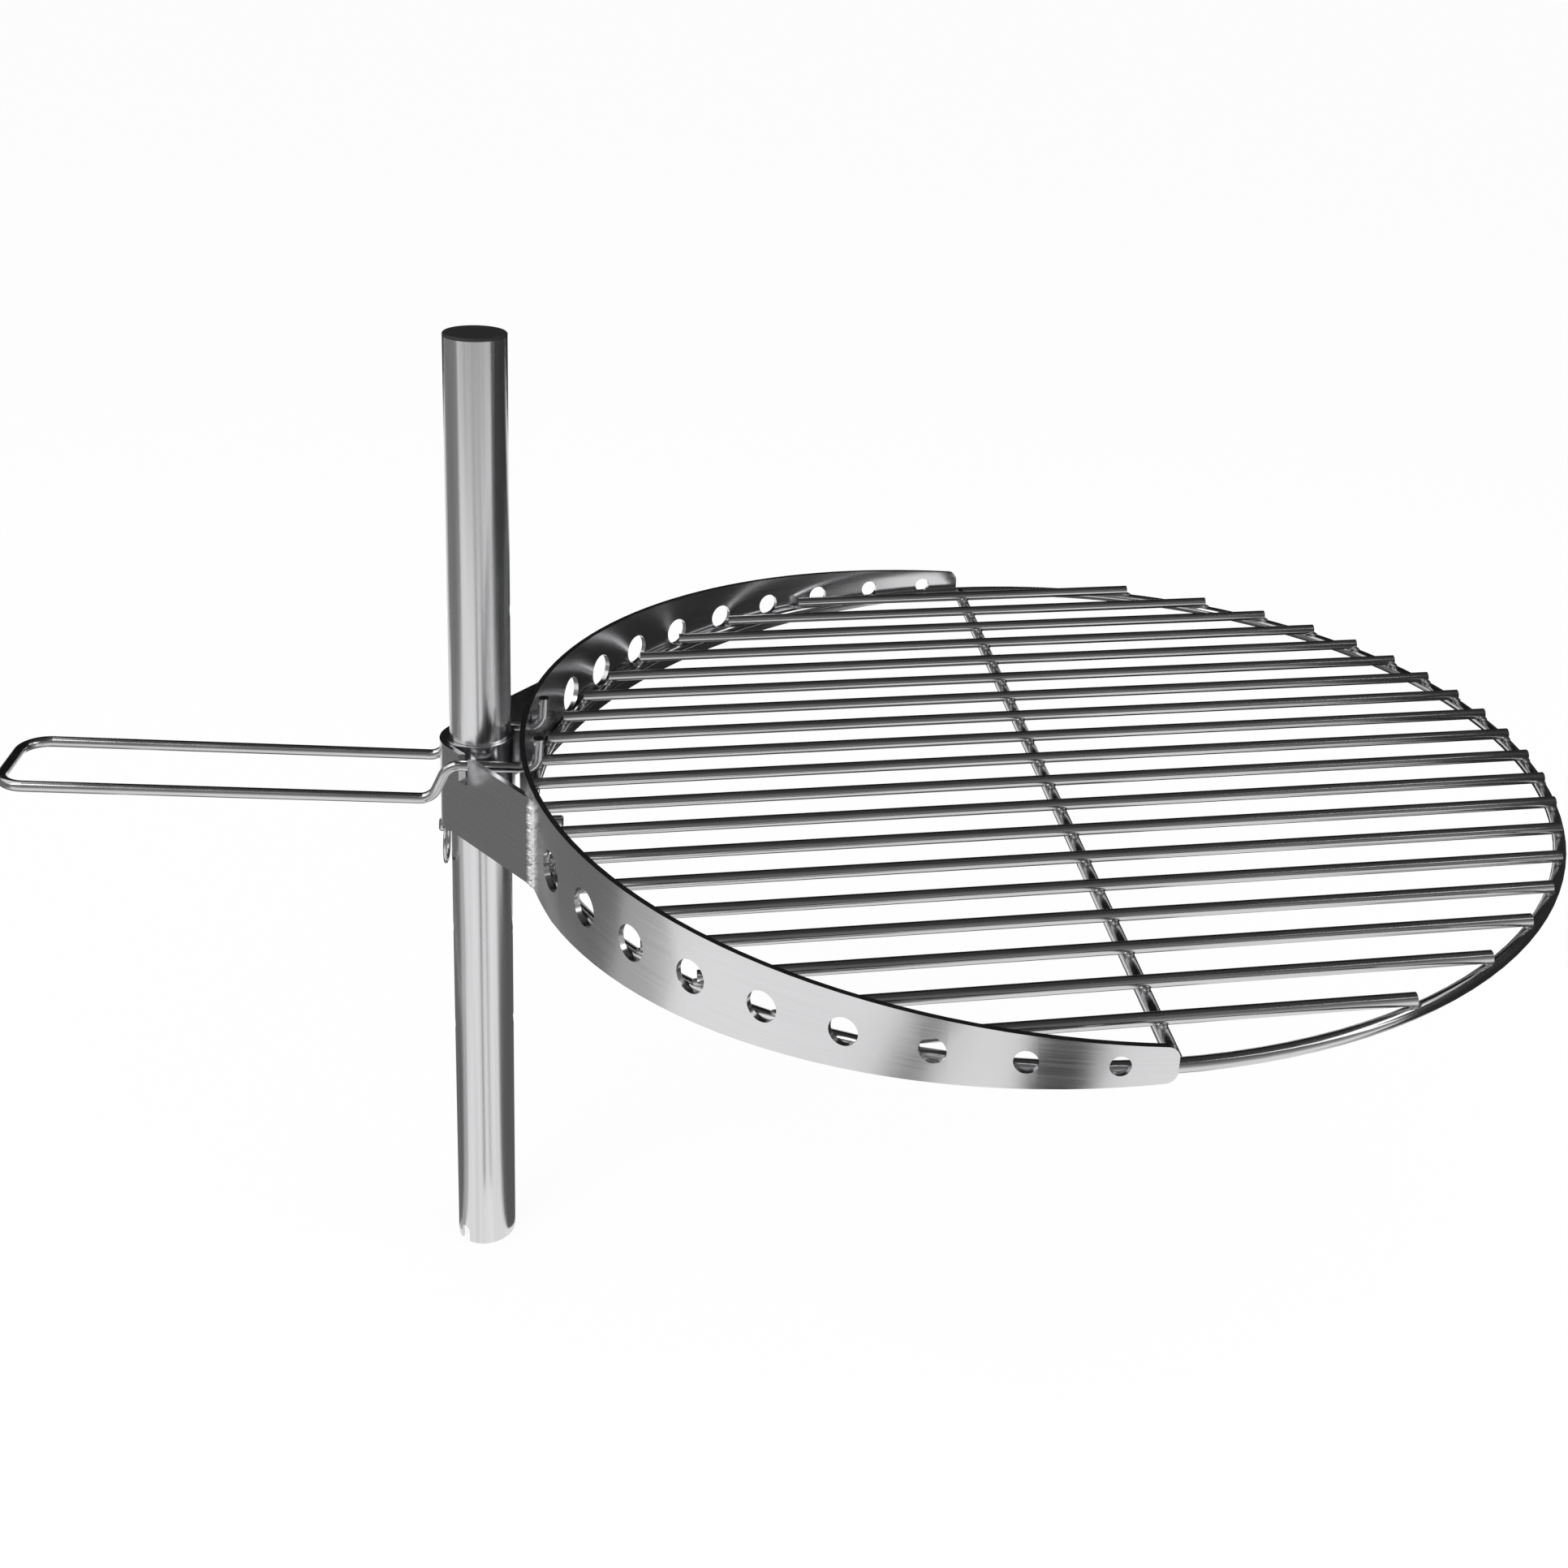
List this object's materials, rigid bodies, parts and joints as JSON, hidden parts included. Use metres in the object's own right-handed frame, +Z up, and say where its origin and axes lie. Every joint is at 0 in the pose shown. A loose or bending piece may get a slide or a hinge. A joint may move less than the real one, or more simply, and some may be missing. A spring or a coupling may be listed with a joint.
{
  "type": "fire pit grill",
  "caption": "Round rod grate in a punched steel band that slides and swings on an upright tube, with a bent rod handle and a ringed stop pin.",
  "frame": {"origin": "on the upright tube's axis at the level of its foot end", "axes": "+Z up along the tube, +X from the tube to the middle of the grate, so the handle points along -X"},
  "size_m": [0.8762, 0.606, 0.5646],
  "materials": {
    "tube_steel": "polished stainless tube with faint lengthwise lines",
    "plate_steel": "smooth rolled stainless sheet",
    "rod_steel": "bright drawn stainless rod",
    "pin_steel": "bright turned pin and wire ring",
    "weld_steel": "rippled weld bead, left as made",
    "cap_plastic": "matt black end plug"
  },
  "bodies": {
    "post": {"post_tube": "tube_steel", "end_cap": "cap_plastic"},
    "pin": {"stop_pin": "pin_steel"},
    "ring": {"pull_ring": "pin_steel"},
    "collar": {"guide_collar": "tube_steel"},
    "grill": {"bracket": "plate_steel", "band": "plate_steel", "front_weld": "weld_steel", "back_weld": "weld_steel", "grate_rim": "rod_steel", "cross_rod": "rod_steel", "grate_bar_01": "rod_steel", "grate_bar_02": "rod_steel", "grate_bar_03": "rod_steel", "grate_bar_04": "rod_steel", "grate_bar_05": "rod_steel", "grate_bar_06": "rod_steel", "grate_bar_07": "rod_steel", "grate_bar_08": "rod_steel", "grate_bar_09": "rod_steel", "grate_bar_10": "rod_steel", "grate_bar_11": "rod_steel", "grate_bar_12": "rod_steel", "grate_bar_13": "rod_steel", "grate_bar_14": "rod_steel", "grate_bar_15": "rod_steel", "grate_bar_16": "rod_steel", "grate_bar_17": "rod_steel", "grate_bar_18": "rod_steel", "grate_bar_19": "rod_steel"},
    "grip": {"handle": "rod_steel"}
  },
  "joints": [
    {"name": "carriage_lift", "type": "slide", "parent": "post", "child": "collar", "axis": [0, 0, 1], "range_m": [0, 0.22]},
    {"name": "grate_swing", "type": "hinge", "parent": "collar", "child": "grill", "pos_m": [0, 0, 0.2813], "axis": [0, 0, 1], "continuous": true},
    {"name": "handle_lift", "type": "hinge", "parent": "grill", "child": "grip", "pos_m": [0.02475, 0, 0.3253], "axis": [0, 1, 0], "range_deg": [0, 40]},
    {"name": "pin_pull", "type": "slide", "parent": "post", "child": "pin", "axis": [-1, 0, 0], "range_m": [0, 0.075]},
    {"name": "ring_swing", "type": "hinge", "parent": "pin", "child": "ring", "pos_m": [-0.0195, 0, 0.277], "axis": [0, 1, 0], "range_deg": [-2, 90]}
  ]
}
